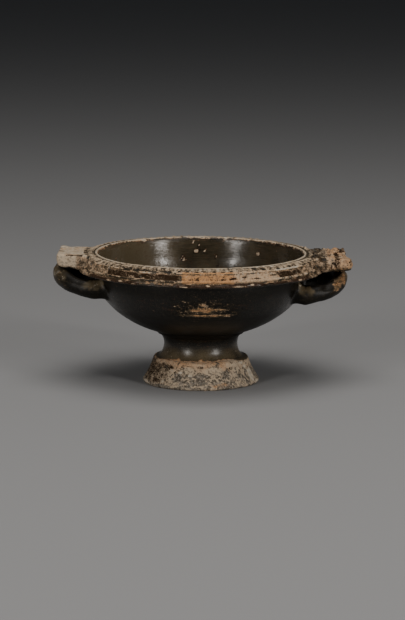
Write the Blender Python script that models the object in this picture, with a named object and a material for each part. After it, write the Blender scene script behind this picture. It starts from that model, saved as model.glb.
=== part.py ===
# Krateriskos: a small wheel-thrown bowl on a stemmed foot. It has a moulded rim with a band
# of eggs on its upper side, a flat plate standing out from the rim at the left and right,
# and a loop handle under each plate. All of it is one fired piece of clay.
# Metres, +Z up. The origin is on the ground under the middle of the bounding box.

import math

import bmesh
import bpy

MM = 0.001

# Foot: a flaring band that stands on a ring, hollow underneath
FOOT_RADIUS = 39.0 * MM
FOOT_EDGE_HEIGHT = 1.8 * MM
FOOT_EDGE_STEP = 0.7 * MM
FOOT_CHAMFER = 0.6 * MM
BAND_HEIGHT = 16.8 * MM
BAND_TOP_RADIUS = 31.6 * MM
BAND_HOLLOW = 0.7 * MM
STANDING_RING_WIDTH = 7.4 * MM
HOLLOW_DEPTH = 22.0 * MM
HOLLOW_FULLNESS = 4.0

# Stem: a concave neck from the foot's band up to its waist, and on up to the bowl's collar
STEM_FOOT_RADIUS = 30.0 * MM
STEM_LOWER_HEIGHT = 9.2 * MM
STEM_WAIST_RADIUS = 24.6 * MM
STEM_UPPER_HEIGHT = 7.2 * MM
COLLAR_RADIUS = 28.9 * MM
COLLAR_STEP = 1.45 * MM

# Bowl: half ellipses outside and inside, widest at the underside of the rim
BOWL_RADIUS = 71.5 * MM
BOWL_DEPTH = 45.1 * MM
BOWL_WALL = 4.0 * MM
BOWL_FLOOR = 6.7 * MM

# Rim, from its underside up: bead, cove, fillet, slanting face, egg band, groove and lip
MOUTH_INSET = 2.7 * MM
LIP_WIDTH = 1.5 * MM
LIP_STAND = 0.4 * MM
LIP_ROUNDING = 0.4 * MM
GROOVE_WIDTH = 0.9 * MM
GROOVE_DEPTH = 0.4 * MM
EGG_BAND_WIDTH = 6.8 * MM
EGG_BAND_FALL = 2.4 * MM
EGG_BAND_BULGE = 0.35 * MM
EGG_BAND_ROUNDNESS = 1.2
EGG_PITCH = 5.5 * MM
EGG_RELIEF = 0.7 * MM
EGG_SINKING = 0.15
EGG_LEAN = 0.3
FACE_HEIGHT = 4.2 * MM
FACE_FLARE = 1.5 * MM
RIDGE_DROP = 0.8 * MM
FILLET_STEP = 1.0 * MM
FILLET_HEIGHT = 1.0 * MM
COVE_DEPTH = 0.9 * MM
COVE_HEIGHT = 0.6 * MM
BEAD_STEP = 1.2 * MM
BEAD_HEIGHT = 2.7 * MM
BEAD_SHOULDER = 1.0 * MM
BEAD_UNDERCUT = 0.4 * MM

# Lean of the bowl on its foot: rise for each unit of distance along X and along Y
LEAN_X = -0.0079
LEAN_Y = 0.0090

# Loop handles: side is the direction along X, stand_out is measured from the rim's bead,
# root_drop from the bowl's widest level down to the centre line
LEFT_LOOP = {
    "side": -1,
    "stand_out": 16.9 * MM,
    "spread": 26.5 * MM,
    "root_drop": 10.1 * MM,
    "rise": 7.2 * MM,
}
RIGHT_LOOP = {
    "side": 1,
    "stand_out": 16.3 * MM,
    "spread": 26.5 * MM,
    "root_drop": 13.1 * MM,
    "rise": 8.1 * MM,
}
LOOP_CENTRE_OFFSET = 2.5 * MM
LOOP_HALF_WIDTH = 4.8 * MM
LOOP_HALF_HEIGHT = 5.1 * MM
LOOP_BEND_SWELL = 1.9 * MM
LOOP_ROOT_FLARE = 2.4 * MM
LOOP_FLARE_START = 0.55
LOOP_FLARE_RUN = 0.35
LOOP_SWEEP = math.radians(128)
LOOP_LIFT_POWER = 4
LOOP_TANGENT_STEP = 0.01

# Rim plates: each outer corner has a stand_out from the rim's bead, a distance from the
# middle line, a rounding and a height of its upper side above the lip; the underside is
# measured from the bowl's widest level
LEFT_PLATE = {
    "side": -1,
    "front_stand_out": 13.7 * MM,
    "front_half_width": 18.0 * MM,
    "front_rounding": 2.6 * MM,
    "front_rise": 0.4 * MM,
    "back_stand_out": 12.9 * MM,
    "back_half_width": 19.0 * MM,
    "back_rounding": 2.6 * MM,
    "back_rise": 1.1 * MM,
    "end_hollow": 0.4 * MM,
    "end_underside": 3.3 * MM,
}
RIGHT_PLATE = {
    "side": 1,
    "front_stand_out": 19.1 * MM,
    "front_half_width": 19.5 * MM,
    "front_rounding": 4.6 * MM,
    "front_rise": -1.8 * MM,
    "back_stand_out": 16.3 * MM,
    "back_half_width": 20.5 * MM,
    "back_rounding": 2.0 * MM,
    "back_rise": 0.6 * MM,
    "end_hollow": 2.2 * MM,
    "end_underside": 1.7 * MM,
}
PLATE_ROOT_HALF_WIDTH = 22.0 * MM
PLATE_ROOT_SINK = 0.2 * MM
PLATE_ROOT_UNDERSIDE = 1.5 * MM
PLATE_EDGE_ROUNDING = 1.1 * MM

# Fineness of the facets
FOOT_SIDES = 44
BOWL_SIDES = 64
POINTS_PER_EGG = 4
LOOP_STEPS = 20
LOOP_SIDES = 12
CORNER_STEPS = 4
PLATE_ARC_STEPS = 3
CUT_CLEARANCE = 6.0 * MM
SHARP_ANGLE = math.radians(32)

# Black slip over a pinkish clay
SLIP_COLOUR = (0.030, 0.026, 0.018, 1.0)
SLIP_ROUGHNESS = 0.38


def smooth_step(value):
    value = min(1.0, max(0.0, value))
    return value * value * (3.0 - 2.0 * value)


def waist_height():
    return BAND_HEIGHT + STEM_LOWER_HEIGHT


def collar_height():
    return waist_height() + STEM_UPPER_HEIGHT


def belly_height():
    """Height where the bowl is widest, under the rim."""
    rise = BOWL_DEPTH * math.sqrt(1.0 - (COLLAR_RADIUS / BOWL_RADIUS) ** 2)
    return collar_height() + COLLAR_STEP + rise


def lean(x, y, z):
    """Height of a point once the bowl leans on its foot; the foot itself stays level."""
    share = (z - waist_height()) / (belly_height() - waist_height())
    share = min(1.0, max(0.0, share))
    return z + share * (LEAN_X * x + LEAN_Y * y)


# Turned profile rows are (radius, height, sides, relief)
def hollow_rows():
    """Underside of the foot, from the middle of the hollow out to the standing ring."""
    ring_inner = FOOT_RADIUS - FOOT_CHAMFER - STANDING_RING_WIDTH
    rows = [(0.0, HOLLOW_DEPTH, 1, 0.0)]
    for share in (0.35, 0.6, 0.76, 0.88, 0.96, 1.0):
        height = HOLLOW_DEPTH * (1.0 - share ** HOLLOW_FULLNESS)
        rows.append((ring_inner * share, height, FOOT_SIDES, 0.0))
    return rows


def foot_rows():
    """Standing ring, turned-out lower edge and the hollowed band above it."""
    band_base_radius = FOOT_RADIUS - FOOT_EDGE_STEP
    band_base_height = FOOT_EDGE_HEIGHT + FOOT_EDGE_STEP
    rows = [
        (FOOT_RADIUS - FOOT_CHAMFER, 0.0, FOOT_SIDES, 0.0),
        (FOOT_RADIUS, FOOT_CHAMFER, FOOT_SIDES, 0.0),
        (FOOT_RADIUS, FOOT_EDGE_HEIGHT, FOOT_SIDES, 0.0),
    ]
    steps = 4
    for step in range(steps + 1):
        share = step / steps
        radius = band_base_radius + (BAND_TOP_RADIUS - band_base_radius) * share
        radius -= BAND_HOLLOW * math.sin(math.pi * share)
        height = band_base_height + (BAND_HEIGHT - band_base_height) * share
        rows.append((radius, height, FOOT_SIDES, 0.0))
    return rows


def stem_rows():
    """Shoulder of the foot, then two quarter ellipses that meet at the waist."""
    shoulder = BAND_HEIGHT + FOOT_CHAMFER
    waist, collar = waist_height(), collar_height()
    rows = []
    steps = 4
    for step in range(steps + 1):
        angle = 0.5 * math.pi * step / steps
        radius = STEM_WAIST_RADIUS + (STEM_FOOT_RADIUS - STEM_WAIST_RADIUS) * (1.0 - math.sin(angle))
        height = waist - (waist - shoulder) * math.cos(angle)
        rows.append((radius, height, FOOT_SIDES, 0.0))
    for step in range(1, steps + 1):
        angle = 0.5 * math.pi * step / steps
        radius = STEM_WAIST_RADIUS + (COLLAR_RADIUS - STEM_WAIST_RADIUS) * (1.0 - math.cos(angle))
        height = waist + (collar - waist) * math.sin(angle)
        rows.append((radius, height, FOOT_SIDES, 0.0))
    return rows


def bowl_rows():
    """Outside of the bowl, an ellipse from the collar up to the underside of the rim."""
    first = math.asin(COLLAR_RADIUS / BOWL_RADIUS)
    steps = 10
    rows = []
    for step in range(steps + 1):
        angle = first + (0.5 * math.pi - first) * step / steps
        radius = BOWL_RADIUS * math.sin(angle)
        height = belly_height() - BOWL_DEPTH * math.cos(angle)
        rows.append((radius, height, BOWL_SIDES, 0.0))
    return rows


def mouth_radius():
    return BOWL_RADIUS - MOUTH_INSET


def egg_band_start():
    return mouth_radius() + LIP_WIDTH + GROOVE_WIDTH


def fillet_radius():
    return egg_band_start() + EGG_BAND_WIDTH + FACE_FLARE + FILLET_STEP


def bead_radius():
    return fillet_radius() + BEAD_STEP


def ridge_height():
    """Height of the ridge between the slanting face and the egg band."""
    return belly_height() + BEAD_HEIGHT + COVE_HEIGHT + FILLET_HEIGHT + FACE_HEIGHT


def lip_height():
    return ridge_height() + EGG_BAND_FALL + LIP_STAND


def egg_count():
    middle = egg_band_start() + 0.5 * EGG_BAND_WIDTH
    return round(2.0 * math.pi * middle / EGG_PITCH)


def egg_band_rows():
    """Convex band from its outer ridge in to the groove, listed from the outside inwards."""
    rows = []
    for share, relief in ((1.0, 0.0), (0.86, 0.8), (0.55, 1.0), (0.2, 0.9), (0.0, 0.0)):
        radius = egg_band_start() + EGG_BAND_WIDTH * share
        height = ridge_height() + EGG_BAND_FALL * (1.0 - share ** EGG_BAND_ROUNDNESS)
        height += EGG_BAND_BULGE * math.sin(math.pi * share)
        sides = egg_count() * POINTS_PER_EGG if relief else BOWL_SIDES
        rows.append((radius, height, sides, EGG_RELIEF * relief))
    return rows


def rim_rows():
    """Mouldings of the rim, from its underside out, up and in over the mouth."""
    ridge = egg_band_start() + EGG_BAND_WIDTH
    cove_foot = belly_height() + BEAD_HEIGHT
    fillet_foot = cove_foot + COVE_HEIGHT
    face_foot = fillet_foot + FILLET_HEIGHT
    face_share = 1.0 - RIDGE_DROP / FACE_HEIGHT
    lip_outer = mouth_radius() + LIP_WIDTH
    corners = [
        (bead_radius() - BEAD_STEP, belly_height() - BEAD_UNDERCUT),
        (bead_radius(), belly_height()),
        (bead_radius(), cove_foot - BEAD_SHOULDER),
        (fillet_radius() - COVE_DEPTH, cove_foot),
        (fillet_radius(), fillet_foot),
        (fillet_radius(), face_foot),
        (ridge + FACE_FLARE, face_foot),
        (ridge + FACE_FLARE * (1.0 - face_share), ridge_height() - RIDGE_DROP),
    ]
    lip = [
        (lip_outer + 0.5 * GROOVE_WIDTH, lip_height() - LIP_STAND - GROOVE_DEPTH),
        (lip_outer, lip_height() - LIP_ROUNDING),
        (lip_outer - LIP_ROUNDING, lip_height()),
    ]
    rows = [(radius, height, BOWL_SIDES, 0.0) for radius, height in corners]
    rows += egg_band_rows()
    rows += [(radius, height, BOWL_SIDES, 0.0) for radius, height in lip]
    rows.append((0.0, lip_height(), 1, 0.0))
    return rows


def inside_rows():
    """The hollow of the bowl as a solid to cut, from its floor up to above the mouth."""
    inner_radius = BOWL_RADIUS - BOWL_WALL
    depth = BOWL_DEPTH - BOWL_FLOOR
    rows = [(0.0, belly_height() - depth, 1, 0.0)]
    steps = 9
    for step in range(1, steps + 1):
        angle = 0.5 * math.pi * step / steps
        radius = inner_radius * math.sin(angle)
        height = belly_height() - depth * math.cos(angle)
        rows.append((radius, height, BOWL_SIDES, 0.0))
    above = lip_height() + CUT_CLEARANCE
    rows.append((mouth_radius(), lip_height() - LIP_ROUNDING, BOWL_SIDES, 0.0))
    rows.append((mouth_radius() + CUT_CLEARANCE, above, BOWL_SIDES, 0.0))
    rows.append((0.0, above, 1, 0.0))
    return rows


def egg_wave(angle):
    """Height share of the egg band at an angle: crowns up, gaps down, flat at the plates."""
    wave = 0.5 * math.cos(angle * egg_count()) - EGG_SINKING
    middle = egg_band_start() + 0.5 * EGG_BAND_WIDTH
    from_plate = abs(math.sin(angle)) * middle - PLATE_ROOT_HALF_WIDTH
    return wave * smooth_step(from_plate / EGG_PITCH)


def add_ring(mesh, row):
    radius, height, sides, relief = row
    ring = []
    for index in range(sides):
        angle = 2.0 * math.pi * index / sides
        lift = relief * egg_wave(angle) if relief else 0.0
        reach = radius + EGG_LEAN * lift
        x = reach * math.cos(angle)
        y = reach * math.sin(angle)
        ring.append(mesh.verts.new((x, y, lean(x, y, height + lift))))
    return ring


def stitch(mesh, first, second):
    """Join two rings of any number of points with a belt of faces."""
    if len(first) == len(second):
        for index in range(len(first)):
            after = (index + 1) % len(first)
            mesh.faces.new((first[index], first[after], second[after], second[index]))
        return
    near, far = 0, 0
    while near < len(first) or far < len(second):
        near_turn = (near + 0.5) / len(first)
        far_turn = (far + 0.5) / len(second)
        a = first[near % len(first)]
        b = second[far % len(second)]
        if far >= len(second) or (near < len(first) and near_turn <= far_turn):
            mesh.faces.new((a, first[(near + 1) % len(first)], b))
            near += 1
        else:
            mesh.faces.new((a, second[(far + 1) % len(second)], b))
            far += 1


def fan(mesh, ring, centre):
    for index, vertex in enumerate(ring):
        mesh.faces.new((vertex, ring[(index + 1) % len(ring)], centre))


def finish_mesh(name, mesh):
    """Turn a closed bmesh into an object with outward faces and softly shaded rounds."""
    bmesh.ops.recalc_face_normals(mesh, faces=mesh.faces)
    bmesh.ops.triangulate(mesh, faces=mesh.faces)
    data = bpy.data.meshes.new(name)
    mesh.to_mesh(data)
    mesh.free()
    data.shade_smooth()
    data.set_sharp_from_angle(angle=SHARP_ANGLE)
    thing = bpy.data.objects.new(name, data)
    thing.location.x = axis_offset()
    bpy.context.scene.collection.objects.link(thing)
    return thing


def turned(name, rows):
    mesh = bmesh.new()
    rings = [add_ring(mesh, row) for row in rows]
    fan(mesh, rings[1], rings[0][0])
    for first, second in zip(rings[1:-2], rings[2:-1]):
        stitch(mesh, first, second)
    fan(mesh, rings[-2], rings[-1][0])
    return finish_mesh(name, mesh)


def lift_share(angle):
    """Share of a loop's rise at an angle from its outermost point."""
    return (0.5 + 0.5 * math.cos(angle)) ** LOOP_LIFT_POWER


def loop_point(loop, angle):
    """Centre line of a loop: most of a tilted elliptical ring whose back is in the bowl."""
    centre = BOWL_RADIUS + LOOP_CENTRE_OFFSET
    length = bead_radius() + loop["stand_out"] - LOOP_HALF_WIDTH - centre
    out = centre + length * math.cos(angle)
    along = loop["spread"] * math.sin(angle)
    height = belly_height() - loop["root_drop"] + loop["rise"] * lift_share(angle)
    return out, along, height


def loop_handle(name, loop):
    mesh = bmesh.new()
    rings = []
    for step in range(LOOP_STEPS + 1):
        angle = LOOP_SWEEP * (2.0 * step / LOOP_STEPS - 1.0)
        out, along, height = loop_point(loop, angle)
        ahead = loop_point(loop, angle + LOOP_TANGENT_STEP)
        behind = loop_point(loop, angle - LOOP_TANGENT_STEP)
        way_out, way_along = ahead[0] - behind[0], ahead[1] - behind[1]
        size = math.hypot(way_out, way_along)
        side_out, side_along = way_along / size, -way_out / size
        along_arm = abs(angle) / LOOP_SWEEP
        flare = LOOP_ROOT_FLARE * smooth_step((along_arm - LOOP_FLARE_START) / LOOP_FLARE_RUN)
        half_width = LOOP_HALF_WIDTH + flare
        half_height = LOOP_HALF_HEIGHT + flare + LOOP_BEND_SWELL * lift_share(angle)
        ring = []
        for corner in range(LOOP_SIDES):
            turn = 2.0 * math.pi * (corner + 0.5) / LOOP_SIDES
            shift = half_width * math.cos(turn)
            x = loop["side"] * (out + shift * side_out)
            y = along + shift * side_along
            z = height + half_height * math.sin(turn)
            ring.append(mesh.verts.new((x, y, lean(x, y, z))))
        rings.append(ring)
    for first, second in zip(rings[:-1], rings[1:]):
        stitch(mesh, first, second)
    mesh.faces.new(rings[0])
    mesh.faces.new(rings[-1])
    return finish_mesh(name, mesh)


def corner_arc(plate, corner, sign):
    """Rounded outer corner of a plate, run from its straight side round to its outer end."""
    reach = bead_radius() + plate[corner + "_stand_out"]
    half_width = plate[corner + "_half_width"]
    rounding = plate[corner + "_rounding"]
    points = []
    for step in range(CORNER_STEPS + 1):
        angle = 0.5 * math.pi * (1.0 - step / CORNER_STEPS)
        out = reach - rounding + rounding * math.cos(angle)
        along = half_width - rounding + rounding * math.sin(angle)
        points.append((out, sign * along))
    return points


def plate_outline(plate):
    """Plan of a plate: an arc behind the lip, straight sides, rounded corners, hollow end."""
    inner = egg_band_start()
    half_turn = math.asin(PLATE_ROOT_HALF_WIDTH / inner)
    arc = []
    for step in range(2 * PLATE_ARC_STEPS + 1):
        angle = half_turn * (1.0 - step / PLATE_ARC_STEPS)
        arc.append((inner * math.cos(angle), inner * math.sin(angle)))
    end = []
    for corner, sign in (("front", -1), ("back", 1)):
        reach = bead_radius() + plate[corner + "_stand_out"] - plate["end_hollow"]
        inset = plate[corner + "_half_width"] - 2.0 * plate[corner + "_rounding"]
        end.append((reach, sign * inset))
    return arc + corner_arc(plate, "front", -1) + end + corner_arc(plate, "back", 1)[::-1]


def rim_plate(name, plate):
    mesh = bmesh.new()
    inner = egg_band_start()
    length = bead_radius() + plate["front_stand_out"] - inner
    levels = ([], [])
    for out, along in plate_outline(plate):
        share = (out - inner) / length
        back = 0.5 + 0.5 * along / plate["back_half_width"]
        end_rise = plate["front_rise"] + (plate["back_rise"] - plate["front_rise"]) * back
        top = lip_height() - PLATE_ROOT_SINK * (1.0 - share) + end_rise * share
        underside = belly_height() + PLATE_ROOT_UNDERSIDE * (1.0 - share)
        underside += plate["end_underside"] * share
        x = plate["side"] * out
        for level, z in zip(levels, (underside, top)):
            level.append(mesh.verts.new((x, along, lean(x, along, z))))
    stitch(mesh, levels[0], levels[1])
    faces = [mesh.faces.new(level) for level in levels]
    edges = [edge for face in faces for edge in face.edges]
    bmesh.ops.bevel(mesh, geom=edges, offset=PLATE_EDGE_ROUNDING, segments=2, profile=0.5,
                    affect="EDGES", clamp_overlap=True)
    return finish_mesh(name, mesh)


def axis_offset():
    """Shift along X that puts the middle of the handles' full span over the origin."""
    spans = []
    for loop, plate in ((LEFT_LOOP, LEFT_PLATE), (RIGHT_LOOP, RIGHT_PLATE)):
        spans.append(max(loop["stand_out"], plate["front_stand_out"], plate["back_stand_out"]))
    return 0.5 * (spans[0] - spans[1])


def combine(target, tool, operation):
    tool.hide_render = True
    tool.display_type = "WIRE"
    step = target.modifiers.new(tool.name, "BOOLEAN")
    step.operation = operation
    step.solver = "EXACT"
    step.object = tool


def slip_material():
    material = bpy.data.materials.new("black slip on clay")
    material.use_nodes = True
    shader = material.node_tree.nodes["Principled BSDF"]
    shader.inputs["Base Color"].default_value = SLIP_COLOUR
    shader.inputs["Roughness"].default_value = SLIP_ROUGHNESS
    shader.inputs["Metallic"].default_value = 0.0
    return material


def build():
    for thing in list(bpy.data.objects):
        bpy.data.objects.remove(thing, do_unlink=True)
    outside = hollow_rows() + foot_rows() + stem_rows() + bowl_rows() + rim_rows()
    vessel = turned("krateriskos", outside)
    vessel.data.materials.append(slip_material())
    combine(vessel, loop_handle("left_loop", LEFT_LOOP), "UNION")
    combine(vessel, loop_handle("right_loop", RIGHT_LOOP), "UNION")
    combine(vessel, rim_plate("left_plate", LEFT_PLATE), "UNION")
    combine(vessel, rim_plate("right_plate", RIGHT_PLATE), "UNION")
    combine(vessel, turned("bowl_hollow", inside_rows()), "DIFFERENCE")


build()
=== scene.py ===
import math
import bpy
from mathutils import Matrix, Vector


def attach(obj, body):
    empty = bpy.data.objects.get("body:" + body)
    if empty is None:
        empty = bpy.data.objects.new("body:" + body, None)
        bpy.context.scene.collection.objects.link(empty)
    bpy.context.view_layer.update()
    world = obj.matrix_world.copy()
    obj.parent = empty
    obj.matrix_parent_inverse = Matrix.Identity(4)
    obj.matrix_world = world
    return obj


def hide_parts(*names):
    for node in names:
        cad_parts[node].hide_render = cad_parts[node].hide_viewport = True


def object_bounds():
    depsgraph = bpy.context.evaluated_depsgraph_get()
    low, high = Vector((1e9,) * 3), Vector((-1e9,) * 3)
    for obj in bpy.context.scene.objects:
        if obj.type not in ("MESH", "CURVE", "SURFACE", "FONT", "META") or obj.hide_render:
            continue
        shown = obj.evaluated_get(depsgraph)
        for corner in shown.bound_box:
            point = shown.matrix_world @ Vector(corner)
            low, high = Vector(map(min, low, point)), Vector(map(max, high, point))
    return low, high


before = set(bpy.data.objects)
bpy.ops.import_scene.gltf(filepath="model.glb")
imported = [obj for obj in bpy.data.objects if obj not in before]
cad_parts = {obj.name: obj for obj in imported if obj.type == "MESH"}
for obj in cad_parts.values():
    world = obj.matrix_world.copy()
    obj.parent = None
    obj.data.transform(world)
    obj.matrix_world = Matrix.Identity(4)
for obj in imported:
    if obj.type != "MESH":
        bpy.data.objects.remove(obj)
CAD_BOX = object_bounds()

from types import SimpleNamespace

import bmesh
import bpy
import numpy as np
from mathutils import noise

# The krateriskos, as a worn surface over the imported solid: turned body with its egg band,
# two loop handles and two rim plates, with chips, pits, worn slip and a pale crust.
# Bearings are in degrees round the turning axis, 0 towards the camera and 90 at the right.
# Heights are measured before the bowl's lean. Sizes are in metres, but the tables of chips
# and stains, and the functions that lay such marks on the surface, are in millimetres.

MM = 0.001

# Place of the turning axis between the two ends of the handles
AXIS_X = -1.1 * MM

# Foot and stem
FOOT_RADIUS = 39.0 * MM
FOOT_EDGE_HEIGHT = 1.8 * MM
FOOT_EDGE_STEP = 0.7 * MM
FOOT_CHAMFER = 0.6 * MM
BAND_HEIGHT = 16.8 * MM
BAND_TOP_RADIUS = 31.6 * MM
BAND_HOLLOW = 0.7 * MM
STANDING_RING_WIDTH = 7.4 * MM
RING_INNER_RADIUS = FOOT_RADIUS - FOOT_CHAMFER - STANDING_RING_WIDTH
HOLLOW_DEPTH = 22.0 * MM
HOLLOW_FULLNESS = 4.0
STEM_FOOT_RADIUS = 30.0 * MM
STEM_WAIST_RADIUS = 24.6 * MM
COLLAR_RADIUS = 28.9 * MM
COLLAR_STEP = 1.45 * MM
WAIST_HEIGHT = BAND_HEIGHT + 9.2 * MM
COLLAR_HEIGHT = WAIST_HEIGHT + 7.2 * MM

# Bowl
BOWL_RADIUS = 71.5 * MM
BOWL_DEPTH = 45.1 * MM
BOWL_WALL = 4.0 * MM
BOWL_FLOOR = 6.7 * MM
COLLAR_SHARE = math.asin(COLLAR_RADIUS / BOWL_RADIUS)
BELLY_HEIGHT = COLLAR_HEIGHT + COLLAR_STEP + BOWL_DEPTH * math.cos(COLLAR_SHARE)
HOLLOW_SWEEP = math.radians(86.3)

# Rim. Its ridge stands 1.1 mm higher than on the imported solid, and the egg band rises less
# from there to the lip, as the photo shows. The lip itself is at the same height on both.
MOUTH_RADIUS = BOWL_RADIUS - 2.7 * MM
LIP_WIDTH = 1.5 * MM
LIP_STAND = 0.4 * MM
GROOVE_WIDTH = 0.9 * MM
GROOVE_DEPTH = 0.4 * MM
EGG_BAND_START = MOUTH_RADIUS + LIP_WIDTH + GROOVE_WIDTH
EGG_BAND_WIDTH = 6.8 * MM
EGG_BAND_FALL = 1.3 * MM
EGG_BAND_BULGE = 0.35 * MM
EGG_BAND_ROUNDNESS = 1.2
EGG_COUNT = 85
RIDGE_RADIUS = EGG_BAND_START + EGG_BAND_WIDTH

# One egg and the shell round it: half width, half length and distance in from the ridge, in
# millimetres
EGG_OVAL = (1.3, 3.1, 4.3)
SHELL_OVAL = (2.1, 4.1, 4.6)

# Mouldings under the egg band
FACE_FLARE = 1.5 * MM
FILLET_RADIUS = RIDGE_RADIUS + FACE_FLARE + 1.0 * MM
BEAD_STEP = 1.2 * MM
BEAD_RADIUS = FILLET_RADIUS + BEAD_STEP
BEAD_UNDERCUT = 0.4 * MM
BEAD_SHOULDER = 1.0 * MM
COVE_DEPTH = 0.9 * MM
COVE_FOOT = BELLY_HEIGHT + 2.7 * MM
FILLET_FOOT = COVE_FOOT + 0.6 * MM
FACE_FOOT = FILLET_FOOT + 1.0 * MM
RIDGE_HEIGHT = FACE_FOOT + 5.3 * MM
RIDGE_DROP = 0.8 * MM
LIP_HEIGHT = RIDGE_HEIGHT + EGG_BAND_FALL + LIP_STAND

# Lean of the bowl on its foot: rise for each unit of distance along X and along Y
LEAN_X = -0.0079
LEAN_Y = 0.0090

# Loop handles
LEFT_LOOP = {"side": -1, "stand_out": 16.9 * MM, "root_drop": 10.1 * MM, "rise": 7.2 * MM}
RIGHT_LOOP = {"side": 1, "stand_out": 16.3 * MM, "root_drop": 13.1 * MM, "rise": 8.1 * MM}
LOOP_SPREAD = 26.5 * MM
LOOP_CENTRE = BOWL_RADIUS + 2.5 * MM
LOOP_HALF_WIDTH = 4.8 * MM
LOOP_HALF_HEIGHT = 5.1 * MM
LOOP_BEND_SWELL = 1.9 * MM
LOOP_ROOT_FLARE = 2.4 * MM
LOOP_FLARE_START = 0.55
LOOP_FLARE_RUN = 0.35
LOOP_SWEEP = math.radians(128)
LOOP_LIFT_POWER = 4
LOOP_TANGENT_STEP = 0.01

# Rim plates: stand_out from the bead, distance from the middle line, corner rounding and
# height of the upper side above the lip, for the front and the back corner
LEFT_PLATE = {
    "side": -1, "end_hollow": 0.4 * MM, "end_underside": 3.3 * MM,
    "edge_rounding": 1.2 * MM, "front": (13.7 * MM, 18.0 * MM, 2.6 * MM, 0.4 * MM),
    "back": (12.9 * MM, 19.0 * MM, 2.6 * MM, 1.1 * MM),
}
RIGHT_PLATE = {
    "side": 1, "end_hollow": 2.2 * MM, "end_underside": 1.7 * MM,
    "edge_rounding": 3.4 * MM, "front": (19.1 * MM, 19.5 * MM, 4.6 * MM, -1.8 * MM),
    "back": (16.3 * MM, 20.5 * MM, 2.0 * MM, 0.6 * MM),
}
PLATE_ROOT_HALF_WIDTH = 22.0 * MM
PLATE_ROOT_SINK = 0.2 * MM
PLATE_ROOT_UNDERSIDE = 1.5 * MM

# How far out the moulding's pitted ends cover the plates' front sides, and where the smooth
# knob at the right plate's front corner begins, in millimetres from the axis
LEFT_KNOBS_END = 81.5
RIGHT_KNOBS_END = 84.0
KNOB_START = 93.0

# Height in millimetres down to which the vessel was dipped in slip
SLIP_END = 18.2

# Places where the bead is broken away: first and last bearing, and depth in millimetres
BEAD_BREAKS = [(-30, -13, 1.3), (29.5, 46, 1.3), (-168, -150, 1), (118, 131, 1.2)]

# Chips round the foot: bearing, height, half width, half height and depth in millimetres
FOOT_CHIPS = [
    (-73, 1, 9, 1.6, 0.9), (-43.5, 4.6, 1.2, 0.8, 0.3), (74.5, 0.8, 3, 1, 0.5),
    (5, 0.5, 4, 0.7, 0.35), (128, 1, 7, 1.5, 0.7), (-150, 0.8, 5, 1.2, 0.6),
]

# Bare spots where the slip has chipped off: bearing, height, half width and half height.
# The chalky ones are filled with crust.
BOWL_CHIPS = [
    (2, 58.9, 6.2, 2.1), (-4, 58.5, 3.5, 1), (9, 59.3, 4.2, 1), (1, 62.6, 1.6, 0.7),
    (4, 54.8, 15, 0.8), (-28.5, 56.9, 0.8, 0.8), (13, 55, 6, 0.5), (-69.5, 62.3, 0.6, 3),
    (83, 62.3, 0.6, 2.5), (150, 60, 6, 1.5), (-120, 51, 5, 1.2),
    (-170, 66, 3, 1.2), (105, 47, 2, 1),
]
INSIDE_CHIPS = [
    (-177.6, 77.3, 1.6, 1), (177.6, 77.3, 0.5, 0.5), (174.6, 76.6, 0.4, 0.4),
    (-169.3, 72.2, 1.7, 1.1), (144.4, 77.6, 1.3, 1.1), (-175.5, 83.5, 0.6, 0.7),
    (-178.5, 81.4, 0.5, 0.5), (171, 74, 0.4, 0.5), (169.5, 68.1, 0.5, 0.6),
    (-145, 85, 1.5, 1.1), (166, 85.4, 0.8, 1.2), (-30, 61, 1.2, 0.8),
    (48, 70, 0.8, 0.7), (100, 58, 1.4, 0.9), (-100, 66, 0.8, 0.8),
]
FACE_CHIPS = [
    (-49.5, 83.6, 0.9, 0.9), (52, 81.4, 1, 1), (-29.5, 81.6, 2.2, 0.6), (-28.5, 84.4, 2.6, 0.9),
    (-25, 84.6, 2, 0.7), (47, 83.2, 1.2, 0.7), (-38, 82, 1.2, 0.4), (140, 82.5, 6, 1.2),
    (-160, 82, 5, 1),
]
CHALKY_FACE_CHIPS = FACE_CHIPS[:5]

# Dark remains of slip on the face, cream bits on the bead, and brown stains and pale crusts
# on the foot: bearing, height, half width and half height
FACE_STAINS = [
    (15, 81.6, 2.6, 0.7), (10.5, 81, 2.4, 0.4), (20.5, 82.4, 2.2, 0.6), (27, 81, 5, 0.4),
    (13, 83.8, 2.2, 0.7), (24, 84.2, 2.6, 0.4), (-8, 81, 0.8, 0.4), (1, 81, 1, 0.4),
    (36, 82.3, 3, 0.6), (30, 83.2, 1, 0.4),
]
BEAD_BITS = [
    (-40, 77.4, 1.5, 0.5), (-8, 76.7, 2.5, 0.4), (3, 77.6, 1.2, 0.4), (17, 76.9, 4, 0.4),
    (24, 77.5, 1.5, 0.4), (-47, 76.8, 2, 0.5), (52, 77, 2, 0.5),
]
FOOT_STAINS = [
    (0, 14.4, 3.6, 1.1), (1.5, 12.2, 1.4, 0.6), (36, 12.8, 2.4, 1.1), (50, 13.8, 2, 1),
    (-7, 8.6, 2, 0.6), (-38, 13.4, 4, 1.2), (-30, 10.5, 4, 1), (0, 0.5, 60, 0.5),
    (-50, 15, 1.5, 1.6), (2, 4.6, 5, 1),
]
FOOT_CRUSTS = [
    (-73, 1.4, 8, 0.8), (-43.5, 4.6, 1.1, 0.8), (74.5, 1.4, 3, 1.2), (68, 7, 3, 4),
    (62, 12.6, 1.6, 1), (-24, 10.8, 1.6, 0.7), (-34, 11.6, 1.6, 0.6), (-12, 9.3, 1.4, 0.6),
    (57, 15.6, 1.8, 0.9),
]

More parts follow.
